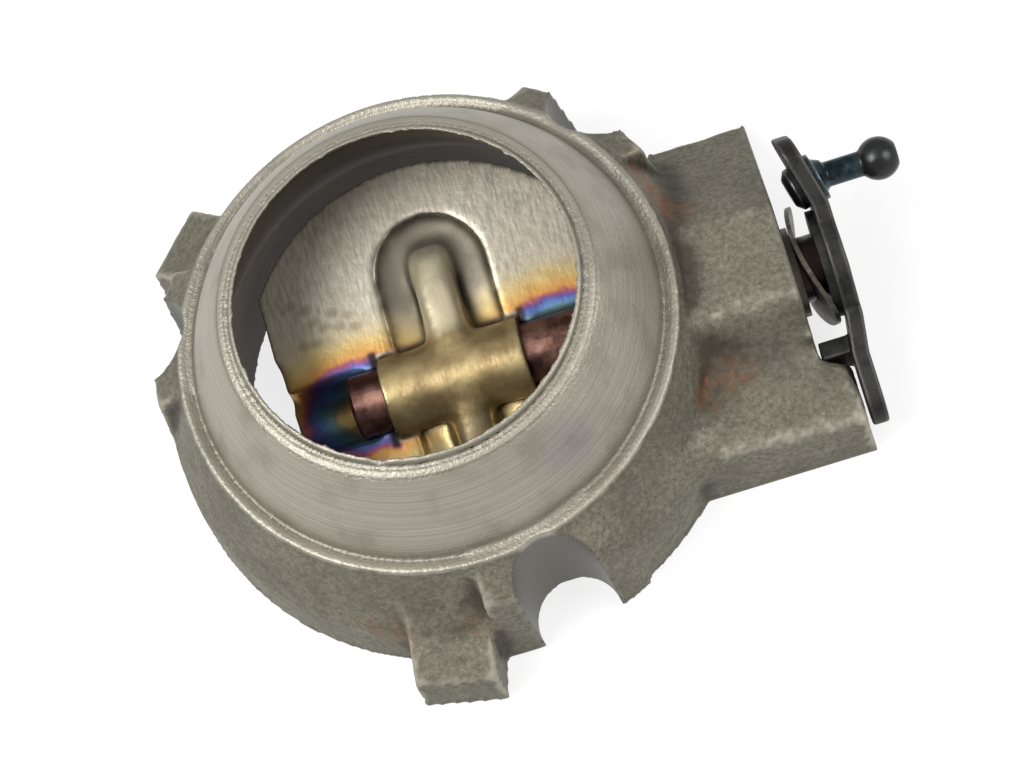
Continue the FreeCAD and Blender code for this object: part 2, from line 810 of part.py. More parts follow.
# Flap, drawn flat and turned about the shaft at last
def make_flap():
    """The round sheet woven over and under the shaft."""
    body = new_body("flap_plate")
    left_flat = flap_shift - flap_half
    right_flat = flap_shift + flap_half
    chord = root(flap_radius * flap_radius - flap_half * flap_half)
    disc = new_sketch(body, "flap_outline", "XY_Plane")
    outline(disc, [
        (left_flat, flap_rise - chord),
        (right_flat, flap_rise - chord),
        (right_flat, flap_rise + chord),
        (left_flat, flap_rise + chord),
    ], {0: flap_radius, 2: flap_radius})
    pad(body, disc, "flap_disc", sheet_thickness, midplane=True)
    upper_reach = flap_radius + flap_rise - upper_margin
    lower_reach = flap_radius - flap_rise - lower_margin
    add_channel(body, "upper", upper_reach, 1)
    add_channel(body, "lower", lower_reach, -1)

    window = new_sketch(body, "window_outline", "XY_Plane")
    outline(window, [
        (left_flat - spare, -sleeve_bore),
        (right_flat + spare, -sleeve_bore),
        (right_flat + spare, sleeve_bore),
        (left_flat - spare, sleeve_bore),
    ])
    pocket(body, window, "window_cut")
    add_half_round(body, "sleeve", -sleeve_left, sleeve_right, 1)
    add_half_round(body, "left_trough", left_flat, -sleeve_left - lance_gap, -1)
    add_half_round(body, "right_trough", sleeve_right + lance_gap, right_flat, -1)
    add_rib(body, "upper", upper_reach, 1)
    add_rib(body, "lower", lower_reach, -1)

    bore = new_sketch(body, "shaft_clearance", "YZ_Plane")
    circle(bore, 0, 0, sleeve_bore)
    pocket(body, bore, "shaft_clearance_cut")
    cut_lances(body)
    holes = new_sketch(body, "weld_holes", "XY_Plane")
    circle(holes, -weld_left, 0, weld_radius)
    circle(holes, weld_right, 0, weld_radius)
    pocket(body, holes, "weld_holes_cut", sleeve_radius + spare)
    place_on_shaft(body, 0, flap_angle)


def channel_outline(sketch, half, reach, side):
    """A strip from the shaft to a round end."""
    start = sleeve_bore * side
    shoulder = (reach - half) * side
    outline(sketch, [
        (channel_centre - half, start),
        (channel_centre + half, start),
        (channel_centre + half, shoulder),
        (channel_centre, reach * side),
        (channel_centre - half, shoulder),
    ], {2: half, 3: half})


def add_channel(body, word, reach, side):
    """Press a channel into the sheet: its back stands out as far as its floor is sunk."""
    back = new_sketch(body, word + "_channel_back", "XY_Plane", -channel_depth - sheet_thickness / 2)
    channel_outline(back, channel_half + sheet_thickness, reach + sheet_thickness, side)
    pad(body, back, word + "_channel_pad", channel_depth + sheet_thickness / 2)
    front = new_sketch(body, word + "_channel_front", "XY_Plane", sheet_thickness / 2)
    channel_outline(front, channel_half, reach, side)
    pocket(body, front, word + "_channel_cut", channel_depth)


def add_half_round(body, name, start, end, side):
    """Half of a round bar along the shaft, on the upper or lower side of the sheet."""
    section = new_sketch(body, name + "_section", "YZ_Plane", start)
    outline(section, [
        (-sleeve_radius, 0),
        (sleeve_radius, 0),
        (0, sleeve_radius * side),
    ], {1: sleeve_radius, 2: sleeve_radius})
    pad(body, section, name + "_pad", end - start)


def add_rib(body, word, reach, side):
    """A hollow rib that runs down from the sleeve's top to the floor of its channel."""
    floor = sheet_thickness / 2 - channel_depth
    foot = reach - rib_inset
    crown = foot - rib_slope
    shape = new_sketch(body, word + "_rib_side", "YZ_Plane", channel_centre)
    outline(shape, rib_side(foot, crown, floor, side, as_size(0)))
    solid = pad(body, shape, word + "_rib_pad", rib_half * 2, midplane=True)
    round_edges(body, solid, word + "_rib_shoulders", rib_round,
                lambda edge: is_rib_shoulder(edge, crown.value, side))
    hollow = new_sketch(body, word + "_rib_hollow", "YZ_Plane", channel_centre)
    outline(hollow, rib_side(foot, crown, floor - sheet_thickness - spare, side, sheet_thickness))
    pocket(body, hollow, word + "_rib_hollow_cut", (rib_half - sheet_thickness) * 2, midplane=True)


def rib_side(foot, crown, floor, side, inset):
    """The rib's outline seen along the shaft; inset gives its hollow."""
    return [
        (0, floor),
        ((foot - inset) * side, floor),
        ((crown - inset) * side, sheet_thickness / 2 + rib_crest - inset),
        (0, sleeve_radius - rib_crest / 10 - inset),
    ]


def is_rib_shoulder(edge, crown, side):
    """The long sloping edges on both sides of the rib's back."""
    centre = edge.CenterOfMass
    on_side = abs(abs(centre.x - channel_centre.value) - rib_half.value) < 1e-6
    sloping = abs(edge.tangentAt(edge.FirstParameter).y) > 0.6
    above = centre.z > sheet_thickness.value / 2 + rib_crest.value
    return on_side and sloping and above and sleeve_radius.value < centre.y * side < crown


def cut_lances(body):
    """The slots that part the sleeve from the troughs."""
    reach = sleeve_radius + lance_margin
    sketch = new_sketch(body, "lance_outlines", "XY_Plane")
    for start in (-sleeve_left - lance_gap, sleeve_right):
        outline(sketch, [
            (start, -reach),
            (start + lance_gap, -reach),
            (start + lance_gap, reach),
            (start, reach),
        ])
    pocket(body, sketch, "lance_cuts")


# Plug welds
def make_weld(name, place):
    """A plug weld that fills a hole of the flap and fuses it to the shaft."""
    body = new_body(name)
    plug = new_sketch(body, name + "_plug", "XY_Plane", -sleeve_bore / 2)
    circle(plug, 0, 0, weld_radius)
    pad(body, plug, name + "_pad", sleeve_radius + weld_crown - sleeve_bore / 2, reversed_pad=True)
    shaft_side = new_sketch(body, name + "_shaft", "YZ_Plane")
    circle(shaft_side, 0, 0, shaft_radius)
    pocket(body, shaft_side, name + "_shaft_cut")
    place_on_shaft(body, place, flap_angle)


make_housing()
make_bushings()
make_ring("thrust_washer", shaft_radius + thrust_wall, bore_radius, boss_end, thrust_end)
make_spring_washer()
make_shaft()
make_flap()
make_weld("left_weld", -weld_left)
make_weld("right_weld", weld_right)
make_ring("lever_collar", collar_radius, shaft_radius, collar_start, lever_inner)
make_lever()
make_ball_stud()
document.recompute()

nodes = [
    "housing",
    "inner_bushing",
    "outer_bushing",
    "thrust_washer",
    "spring_washer",
    "shaft",
    "flap_plate",
    "left_weld",
    "right_weld",
    "lever_collar",
    "lever",
    "ball_stud",
]
for item in document.Objects:
    if "Invalid" in item.State or "Error" in item.State:
        raise RuntimeError("%s failed: %s" % (item.Name, item.State))
os.makedirs("parts", exist_ok=True)
for label in nodes:
    piece = document.getObjectsByLabel(label)[0]
    if piece.Shape.isNull() or not piece.Shape.isValid():
        raise RuntimeError(label + " has no valid shape")
    piece.Shape.exportStep("parts/%s.step" % label)
    print(label, len(piece.Shape.Solids), round(piece.Shape.Volume, 1))
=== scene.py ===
import math

import bmesh
import bpy
import numpy as np
from mathutils import Matrix, Vector, noise


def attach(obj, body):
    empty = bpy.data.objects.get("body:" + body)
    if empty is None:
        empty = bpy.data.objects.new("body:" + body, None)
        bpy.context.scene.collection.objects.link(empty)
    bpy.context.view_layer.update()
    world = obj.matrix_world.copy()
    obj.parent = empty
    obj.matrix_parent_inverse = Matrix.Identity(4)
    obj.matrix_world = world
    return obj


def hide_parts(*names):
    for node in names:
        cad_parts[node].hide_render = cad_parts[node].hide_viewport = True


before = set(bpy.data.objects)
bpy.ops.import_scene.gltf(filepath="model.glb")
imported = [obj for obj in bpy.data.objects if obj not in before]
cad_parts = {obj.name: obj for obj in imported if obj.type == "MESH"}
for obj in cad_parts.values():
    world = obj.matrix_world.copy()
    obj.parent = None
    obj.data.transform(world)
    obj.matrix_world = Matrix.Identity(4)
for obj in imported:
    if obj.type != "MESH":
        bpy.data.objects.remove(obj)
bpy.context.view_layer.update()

MM = 0.001

# Camera, solved from the photograph's circles: its place in millimetres and its right and up directions
CAMERA_PLACE = Vector((50.17, -187.19, 449.70)) * MM
CAMERA_RIGHT = Vector((0.9514, -0.2443, -0.1873))
CAMERA_UP = Vector((0.2959, 0.8934, 0.3380))
FOCAL_PIXELS = 2900
PHOTO_WIDTH = 1024
SENSOR_WIDTH = 36

# Places of the part in millimetres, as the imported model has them
SEAT_CENTRE_HEIGHT = 14.7
SEAT_RADIUS = 40.0
SEAT_FOOT = 25.1
SEAT_TOP = 40.4
RIM_RADIUS = 27.2
RIM_HEIGHT = 42.4
RIM_OUTER = 30.65
LEDGE_RADIUS = 41.0
CHAMBER_RADIUS = 35.4
STUD_REACH = 47.625
NOTCH_RADIUS = 7.1
NOTCH_ANGLES = (-78.2, 41.8, 161.8)
BOSS_END = 58.9
SHAFT_Y = -4.3
SHAFT_HEIGHT = 11.8
FLAP_TILT = math.radians(11.0)
SLEEVE_RADIUS = 6.72
SLEEVE_LEFT = -10.4
SLEEVE_RIGHT = 13.8
RIB_CENTRE = 2.3
RIB_HALF = 3.5
CHANNEL_HALF = 9.3
UPPER_SHOULDER = 18.9
LOWER_SHOULDER = 15.1
LEFT_WELD = -13.7
RIGHT_WELD = 20.2
RIGHT_WELD_ACROSS = 1.1
HEAD_START = 64.0
HEAD_END = 64.6
BALL_START = 73.4
BALL_FULL = 74.8

# Fineness of the remeshed pieces in millimetres, and the count of rings that the turned bands are evened in
HOUSING_VOXEL = 0.5
FLAP_VOXEL = 0.34
LEVER_VOXEL = 0.22
STUD_VOXEL = 0.16
RING_COUNT = 30

# Rounds of smoothing
VALLEY_ROUNDS = 140
CAST_ROUNDS = 12
TURNED_ROUNDS = 5
CROSSING_ROUNDS = 60
PRESS_ROUNDS = 70
SHEET_ROUNDS = 16
LEVER_ROUNDS = 6
STUD_ROUNDS = 4

# The heat tints reach this far from a weld across the shaft, and as many times further along it
TINT_SPAN = 20.0
TINT_STRETCH = 1.6


# Meshes
def copy_of(node, name, body):
    """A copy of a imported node's mesh, welded at its seams, that stands for the node."""
    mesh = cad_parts[node].data.copy()
    mesh.materials.clear()
    solid = bmesh.new()
    solid.from_mesh(mesh)
    bmesh.ops.remove_doubles(solid, verts=solid.verts, dist=0.0005 * MM)
    solid.to_mesh(mesh)
    solid.free()
    piece = bpy.data.objects.new(name, mesh)
    bpy.context.collection.objects.link(piece)
    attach(piece, body)
    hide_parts(node)
    return piece


def remesh(piece, voxel):
    """An even mesh of the piece, with voxels of the given size in millimetres."""
    modifier = piece.modifiers.new("even", "REMESH")
    modifier.mode = "VOXEL"
    modifier.voxel_size = voxel * MM
    graph = bpy.context.evaluated_depsgraph_get()
    mesh = bpy.data.meshes.new_from_object(piece.evaluated_get(graph))
    piece.modifiers.clear()
    piece.data = mesh


class Surface:
    """The points of an even mesh in millimetres, with the means to smooth and read it."""

    def __init__(self, piece):
        self.mesh = piece.data
        count = len(self.mesh.vertices)
        flat = np.empty(count * 3)
        self.mesh.vertices.foreach_get("co", flat)
        self.points = flat.reshape(-1, 3) / MM
        pairs = np.empty(len(self.mesh.edges) * 2, int)
        self.mesh.edges.foreach_get("vertices", pairs)
        self.pairs = pairs.reshape(-1, 2)
        self.degree = np.bincount(pairs, minlength=count)

    def near_mean(self, values):
        """The mean of each point's neighbours, for one column of values."""
        first, second = self.pairs.T
        total = np.bincount(first, values[second], len(values))
        total += np.bincount(second, values[first], len(values))
        return total / self.degree

    def smooth(self, weight, rounds):
        """Move points towards their neighbours' mean, by their weights from 0 to 1."""
        for _ in range(rounds):
            mean = np.stack([self.near_mean(column) for column in self.points.T], 1)
            self.points += (mean - self.points) * weight[:, None] * 0.5

    def soften(self, values, rounds):
        for _ in range(rounds):
            values = self.near_mean(values)
        return values

    def write(self):
        self.mesh.vertices.foreach_set("co", (self.points * MM).ravel())
        self.mesh.update()

    def normals(self):
        flat = np.empty(len(self.points) * 3)
        self.mesh.vertices.foreach_get("normal", flat)
        return flat.reshape(-1, 3)

    def bulge(self, rounds):
        """How far each point stands out of a smoothed copy of the surface, in millimetres."""
        mean = np.stack([self.soften(column, rounds) for column in self.points.T], 1)
        return ((self.points - mean) * self.normals()).sum(1)

    def keep(self, name, values):
        """Store one number from 0 to 1 per point for the materials."""
        self.keep_raw(name, np.clip(values, 0, 1))

    def keep_raw(self, name, values):
        """Store one number of any size per point."""
        attribute = self.mesh.attributes.new(name, "FLOAT", "POINT")
        attribute.data.foreach_set("value", values.astype(np.float32))


def step(values, low, high):
    """A smooth step from 0 at low to 1 at high; low may be the larger."""
    share = np.clip((values - low) / (high - low), 0, 1)
    return share * share * (3 - 2 * share)


def spot(points, centre, radius):
    """1 at the centre and 0 from the radius outwards."""
    return step(np.linalg.norm(points - np.array(centre), axis=1), radius, 0)


def lumps(points, size, seed):
    """Smooth noise from -1 to 1 with features of this size."""
    shift = Vector((seed * 17.3, seed * 5.1, seed * 11.7))
    return np.array([noise.noise(Vector(point) / size + shift) for point in points])


def shade_smooth(piece):
    piece.data.polygons.foreach_set("use_smooth", [True] * len(piece.data.polygons))


# Housing
def make_housing():
    piece = copy_of("housing", "housing_casting", "casing")
    remesh(piece, HOUSING_VOXEL)
    surface = Surface(piece)
    x, y, z = surface.points.T
    reach = np.hypot(x, y)
    seat_reach = np.sqrt(reach ** 2 + (z - SEAT_CENTRE_HEIGHT) ** 2)
    seat = (np.abs(seat_reach - SEAT_RADIUS) < 0.7) & (z > SEAT_FOOT - 0.3) & (reach > RIM_OUTER - 0.5)
    rim = (z > SEAT_TOP - 0.2) & (reach < RIM_OUTER + 0.5)
    ledge = (z > SEAT_FOOT - 0.5) & (reach < LEDGE_RADIUS + 0.3)
    inside = (reach < CHAMBER_RADIUS + 0.3) & (seat_reach < SEAT_RADIUS - 1.5)
    base = z < 0.45
    boss_face = (x > BOSS_END - 0.6) & (y > SHAFT_Y - 15)
    notch = np.zeros(len(x), bool)
    for angle in NOTCH_ANGLES:
        stud = np.array([math.cos(math.radians(angle)), math.sin(math.radians(angle))]) * STUD_REACH
        notch |= np.hypot(x - stud[0], y - stud[1]) < NOTCH_RADIUS + 0.35
    turned = seat | rim | ledge
    machined = turned | inside | base | boss_face | notch
    cast = 1.0 - machined
    cast = surface.soften(cast, 2) * (1 - machined)

    valley = np.exp(-((y + 19.5) / 6.0) ** 2) * step(x, 30, 38) * step(z, 6, 10) * cast
    skirt = step(reach, 52, 48) * step(z, 6, 9) * step(y, -12, -18) * step(x, 12, 20) * cast
    surface.smooth(np.maximum(valley, skirt), VALLEY_ROUNDS)
    surface.smooth(cast, CAST_ROUNDS)
    surface.smooth(turned.astype(float), TURNED_ROUNDS)
    rim_band = rim & (reach > RIM_RADIUS + 0.6) & (z > RIM_HEIGHT - 3)
    seat_band = seat & (z > SEAT_FOOT + 1) & (reach > RIM_OUTER + 0.3)
    for _ in range(4):
        for band in (rim_band, seat_band):
            surface.smooth(band.astype(float), 3)
            even_turned(surface, band)
    surface.write()

    grain = 0.16 * lumps(surface.points, 5.5, 1) + 0.09 * lumps(surface.points, 1.9, 2)
    grain += 0.06 * lumps(surface.points, 0.9, 3)
    surface.points -= surface.normals() * ((0.2 + grain) * cast)[:, None]

    surface.write()
    add_rim_burr(surface)
    bulge = surface.bulge(6)
    surface.keep("worn", step(bulge, 0.03, 0.16))
    # Painted shade: creases and concave spots are marked for a darker colour
    surface.keep("crevice_shade", step(bulge, -0.02, -0.14))
    # Painted shade: broad hollows such as the valley by the web are marked for a darker colour
    surface.keep("hollow_shade", step(surface.bulge(110), -0.1, -0.7))
    surface.keep("purple", 0.45 * spot(surface.points, (16.8, -28.1, 33.0), 9.0))
    surface.keep("cast", surface.soften(cast, 1))
    surface.keep("rim", surface.soften(rim.astype(float), 1))
    surface.keep("turned", surface.soften(turned.astype(float), 1))
    surface.keep("inside", surface.soften(inside.astype(float), 2))
    surface.keep("rust", rust_places(surface.points))
    piece.data.materials.append(make_iron())
    shade_smooth(piece)


def even_turned(surface, mask):
    """Put turned points at their mean distance from the seat's centre, as read along the passage axis."""
    x, y, z = surface.points[mask].T
    drop = z - SEAT_CENTRE_HEIGHT
    distance = np.sqrt(x ** 2 + y ** 2 + drop ** 2)
    slope = drop / distance
    places = np.linspace(slope.min(), slope.max(), RING_COUNT)
    nearest = np.abs(slope[:, None] - places).argmin(1)
    counts = np.bincount(nearest, minlength=RING_COUNT)
    means = np.bincount(nearest, distance, RING_COUNT) / np.maximum(counts, 1)
    share = np.interp(slope, places[counts > 0], means[counts > 0]) / distance
    surface.points[mask] = np.stack([x * share, y * share, SEAT_CENTRE_HEIGHT + drop * share], 1)


def add_rim_burr(surface):
    """The torn inner edge of the turned rim, with one nick."""
    x, y, z = surface.points.T
    reach = np.hypot(x, y)
    angle = np.arctan2(y, x)
    near = step(z, RIM_HEIGHT - 1.1, RIM_HEIGHT - 0.4) * step(reach, RIM_RADIUS + 0.8, RIM_RADIUS + 0.1)
    ring = np.stack([np.cos(angle), np.sin(angle), angle * 0], 1) * RIM_RADIUS
    teeth = 0.4 * lumps(ring, 1.0, 4) + 0.15 * lumps(ring, 2.6, 5)
    shift = near * (teeth - 0.05)
    surface.points[:, 0] += np.cos(angle) * shift
    surface.points[:, 1] += np.sin(angle) * shift
    nick = spot(surface.points, (-10.2, -25.9, RIM_HEIGHT), 2.1)
    surface.points[:, 2] -= 1.2 * nick
    surface.write()


def rust_places(points):
    """Rust on the long flank, in the valley of the web and beside the first notch."""
    places = [
        ((41.0, 15.5, 20.0), 7.0, 0.8),
        ((43.5, 12.0, 20.5), 8.0, 1.0),
        ((38.0, -20.0, 13.5), 7.0, 0.9),
        ((44.0, -19.0, 12.0), 7.0, 0.6),
        ((-20.0, -44.0, 12.0), 7.0, 0.5),
        ((-5.0, -46.0, 14.0), 5.0, 0.35),
    ]
    rust = np.zeros(len(points))
    for centre, radius, strength in places:
        rust = np.maximum(rust, strength * spot(points, centre, radius))
    return rust


# Flap
def flap_places(points):
    """Along the shaft, across it in the flap's plane, and above that plane."""
    across = points[:, 1] - SHAFT_Y
    up = points[:, 2] - SHAFT_HEIGHT
    v = across * math.cos(FLAP_TILT) + up * math.sin(FLAP_TILT)
    h = up * math.cos(FLAP_TILT) - across * math.sin(FLAP_TILT)
    return points[:, 0], v, h


def make_flap():
    piece = copy_of("flap_plate", "flap_sheet", "rotor")
    remesh(piece, FLAP_VOXEL)
    surface = Surface(piece)
    u, v, h = flap_places(surface.points)
    side = np.abs(u - RIB_CENTRE)
    pressed = step(side, CHANNEL_HALF + 3.2, CHANNEL_HALF + 1.6) * step(np.abs(v), 30, 27)
    off_ends = step(u, SLEEVE_LEFT + 0.2, SLEEVE_LEFT + 1.6) * step(u, SLEEVE_RIGHT - 0.2, SLEEVE_RIGHT - 1.6)
    bore = step(np.hypot(v, h), SLEEVE_RADIUS - 0.8, SLEEVE_RADIUS - 0.3)
    weight = pressed * off_ends * bore
    crossing = weight * step(side, 8, 5) * step(np.abs(v), 13, 8)
    slope_channels(surface, side, v, h)
    surface.smooth(crossing, CROSSING_ROUNDS)
    rib_ends = weight * step(side, 6.5, 5) * step(np.abs(v), 15, 19) * step(np.abs(v), 27, 24.5)
    surface.smooth(rib_ends, PRESS_ROUNDS)
    surface.smooth(weight, SHEET_ROUNDS)
    past_left = step(u, SLEEVE_LEFT - 2.2, SLEEVE_LEFT - 3.6)
    past_right = step(u, SLEEVE_RIGHT + 2.2, SLEEVE_RIGHT + 3.6)
    beside_trough = step(np.abs(v), 12, 9) * step(np.abs(v), 3, 5)
    surface.smooth(np.maximum(past_left, past_right) * beside_trough, PRESS_ROUNDS)
    surface.smooth(np.full(len(u), 0.5), 2)
    surface.write()

    u, v, h = flap_places(surface.points)
    bulge = surface.bulge(8)
    surface.keep("worn", step(bulge, 0.03, 0.14))
    # Painted shade: creases and concave spots of the sheet are marked for a darker colour
    surface.keep("crevice_shade", step(bulge, -0.02, -0.12))
    surface.keep_raw("tint_reach", heat_reach(u, v))
    on_sleeve = step(np.abs(v), 9.5, 6.0) * step(h, 0.4, 1.6)
    on_rib = step(side, 5.5, 3.5) * step(v, 17, 3) * step(h, 0.3, 1.2)
    low = step(v, 1, -5)
    surface.keep("gold", np.maximum(np.maximum(on_sleeve, on_rib), low))
    within = step(u, SLEEVE_LEFT - 0.6, SLEEVE_LEFT) * step(u, SLEEVE_RIGHT + 0.6, SLEEVE_RIGHT)
    surface.keep("sleeve", within * step(np.abs(v), SLEEVE_RADIUS + 1.5, SLEEVE_RADIUS + 0.3))
    # Painted shade: the floor of the pressed channels is marked for a darker colour
    sunk = step(side, CHANNEL_HALF + 1.2, CHANNEL_HALF - 0.4) * step(h, 0.45, -0.1)
    surface.keep("sunk", sunk * step(v, 0, 6))
    # Painted shadow: a dark line along the outer edge of the pressed channels
    line = np.exp(-((channel_reach(side, v) - CHANNEL_HALF - 0.1) / 0.5) ** 2)
    surface.keep("outline_shadow", line * step(v, 6, 9) * step(np.abs(lumps(surface.points, 4.0, 7)), 0.75, 0.1))
    surface.keep("stain", stain_places(u, v))
    # Painted highlight: the upper top of the rib is marked for a lighter colour
    rib_top_highlight = step(side, 4.4, 3.0) * step(v, 6, 9) * step(v, 23.5, 19.5) * step(h, -0.4, 0.4)
    surface.keep("rib_top_highlight", rib_top_highlight)
    # Painted shade: the slits beside the sleeve ends are marked for a dark colour
    past_slit = np.minimum(np.abs(u - SLEEVE_LEFT + 0.7), np.abs(u - SLEEVE_RIGHT - 0.7))
    surface.keep("slit_shade", step(past_slit, 1.0, 0.3) * step(np.abs(v), 4.0, 5.5) * step(np.abs(v), 8.8, 7.8))
    piece.data.materials.append(make_sheet())
    shade_smooth(piece)


def channel_reach(side, v):
    """Distance from the middle line of the pressed channels."""
    upper = np.hypot(side, np.maximum(v - UPPER_SHOULDER, 0))
    lower = np.hypot(side, np.maximum(-v - LOWER_SHOULDER, 0))
    return np.where(v > 0, upper, lower)


def slope_channels(surface, side, v, h):
    """Slope the channels' floors up to their outer walls, on both faces of the sheet alike."""
    reach = channel_reach(side, v)
    sunk = (h < 0.2) & (reach < CHANNEL_HALF + 0.1)
    slope = np.clip((reach - RIB_HALF) / (CHANNEL_HALF - RIB_HALF), 0, 1)
    rise = (0.9 * slope ** 3 - 0.3) * sunk * step(np.abs(v), 6.5, 8.5)
    surface.points[:, 1] -= math.sin(FLAP_TILT) * rise
    surface.points[:, 2] += math.cos(FLAP_TILT) * rise


def heat_reach(u, v):
    """Distance from the nearer plug weld, over which the sheet's heat tints follow each other."""
    left = np.hypot((u - LEFT_WELD) / TINT_STRETCH, v)
    right = np.hypot((u - RIGHT_WELD) / TINT_STRETCH, v - RIGHT_WELD_ACROSS)
    return np.minimum(left, right)


def stain_places(u, v):
    """A hooked brown mark on the left of the sheet."""
    marks = [(-22.0, 19.8), (-20.2, 18.3), (-19.2, 16.0), (-17.2, 14.8), (-14.8, 14.2),
             (-12.4, 13.4), (-13.2, 15.6), (-15.6, 16.6), (-21.5, 12.6), (-19.6, 12.5)]
    stain = np.zeros(len(u))
    for mark_u, mark_v in marks:
        stain = np.maximum(stain, step(np.hypot((u - mark_u) / 1.5, v - mark_v), 1.3, 0.2))
    return stain


# Lever, ball stud and the rings
def make_rounded(node, name, voxel, rounds, material):
    """A finely meshed copy of a small steel piece with its edges worn round."""
    piece = copy_of(node, name, "rotor")
    remesh(piece, voxel)
    surface = Surface(piece)
    surface.smooth(np.ones(len(surface.points)), rounds)
    surface.write()
    bulge = surface.bulge(6)
    surface.keep("worn", step(bulge, 0.015, 0.08))
    # Painted shade: concave spots are marked for a darker colour
    surface.keep("crevice_shade", step(bulge, -0.01, -0.06))
    piece.data.materials.append(material)
    shade_smooth(piece)


# Materials
class Finish:
    """Builds the nodes of one material, with places measured in millimetres."""

    def __init__(self, name, metallic, specular=0.5):
        self.material = bpy.data.materials.new(name)
        self.material.use_nodes = True
        self.tree = self.material.node_tree
        self.shader = self.tree.nodes["Principled BSDF"]
        self.shader.inputs["Metallic"].default_value = metallic
        self.shader.inputs["Specular IOR Level"].default_value = specular
        scaled = self.add("ShaderNodeVectorMath", operation="SCALE")
        scaled.inputs["Scale"].default_value = 1 / MM
        self.link(self.add("ShaderNodeTexCoord").outputs["Object"], scaled.inputs[0])
        self.place = scaled.outputs[0]

    def add(self, kind, **settings):
        node = self.tree.nodes.new(kind)
        for name, value in settings.items():
            setattr(node, name, value)
        return node

    def link(self, source, socket):
        """Link an output to a socket, or set the socket to a plain value."""
        if isinstance(source, bpy.types.NodeSocket):
            self.tree.links.new(source, socket)
        else:
            socket.default_value = source

    def noise(self, size, detail=2.0, roughness=0.5, stretch=(1, 1, 1)):
        """Noise from 0 to 1 with features of this size; stretch lengthens them along an axis."""
        mapping = self.add("ShaderNodeMapping")
        mapping.inputs["Scale"].default_value = [1 / (size * s) for s in stretch]
        self.link(self.place, mapping.inputs["Vector"])
        texture = self.add("ShaderNodeTexNoise")
        texture.inputs["Scale"].default_value = 1
        texture.inputs["Detail"].default_value = detail
        texture.inputs["Roughness"].default_value = roughness
        self.link(mapping.outputs[0], texture.inputs["Vector"])
        return texture.outputs[0]

    def axes(self):
        """The place's x, y and z."""
        apart = self.add("ShaderNodeSeparateXYZ")
        self.link(self.place, apart.inputs[0])
        return apart.outputs

    def rings(self, pitch, detail=2.0):
        """Noise that changes with the distance from the passage axis, as turning marks do."""
        squares = [self.math("MULTIPLY", side, side) for side in self.axes()[:2]]
        reach = self.math("SQRT", self.math("ADD", *squares), 0)
        texture = self.add("ShaderNodeTexNoise", noise_dimensions="1D")
        texture.inputs["Scale"].default_value = 1
        texture.inputs["Detail"].default_value = detail
        self.link(self.math("DIVIDE", reach, pitch), texture.inputs["W"])
        return texture.outputs[0]

    def along_shaft(self, pitch):
        """Noise that changes along the shaft only."""
        return self.noise(pitch, 2.0, 0.5, (1, 400, 400))

    def attribute(self, name):
        return self.add("ShaderNodeAttribute", attribute_name=name).outputs["Fac"]

    def math(self, operation, first, second, clamp=False):
        node = self.add("ShaderNodeMath", operation=operation, use_clamp=clamp)
        self.link(first, node.inputs[0])
        self.link(second, node.inputs[1])
        return node.outputs[0]

    def spread(self, value, low, high, first=0.0, last=1.0):
        """Map the stretch from low to high onto first to last, with soft ends."""
        node = self.add("ShaderNodeMapRange", interpolation_type="SMOOTHSTEP")
        self.link(value, node.inputs["Value"])
        for name, number in (("From Min", low), ("From Max", high), ("To Min", first), ("To Max", last)):
            node.inputs[name].default_value = number
        return node.outputs[0]

    def mix(self, share, first, second):
        """Mix two colours."""
        node = self.add("ShaderNodeMix", data_type="RGBA")
        self.link(share, node.inputs["Factor"])
        colours = [socket for socket in node.inputs if socket.type == "RGBA"]
        self.link(first, colours[0])
        self.link(second, colours[1])
        return [socket for socket in node.outputs if socket.type == "RGBA"][0]

    def ramp(self, value, stops):
        """A colour for each value from 0 to 1."""
        node = self.add("ShaderNodeValToRGB")
        ramp = node.color_ramp
        while len(ramp.elements) < len(stops):
            ramp.elements.new(0.5)
        for element, (position, colour) in zip(ramp.elements, stops):
            element.position = position
            element.color = colour
        self.link(value, node.inputs["Fac"])
        return node.outputs["Color"]

    def bump(self, height, depth, normal=None):
        """Raise the surface by the height, from 0 to 1, times a depth in millimetres."""
        node = self.add("ShaderNodeBump")
        node.inputs["Distance"].default_value = depth * MM
        self.link(height, node.inputs["Height"])
        if normal is not None:
            self.link(normal, node.inputs["Normal"])
        return node.outputs["Normal"]

    def finish(self, colour, roughness, normal=None):
        self.link(colour, self.shader.inputs["Base Color"])
        self.link(roughness, self.shader.inputs["Roughness"])
        if normal is not None:
            self.link(normal, self.shader.inputs["Normal"])
        return self.material


def shade(red, green, blue):
    """A display colour, given from 0 to 255, as a linear one."""
    return tuple(((c / 255 + 0.055) / 1.055) ** 2.4 for c in (red, green, blue)) + (1.0,)


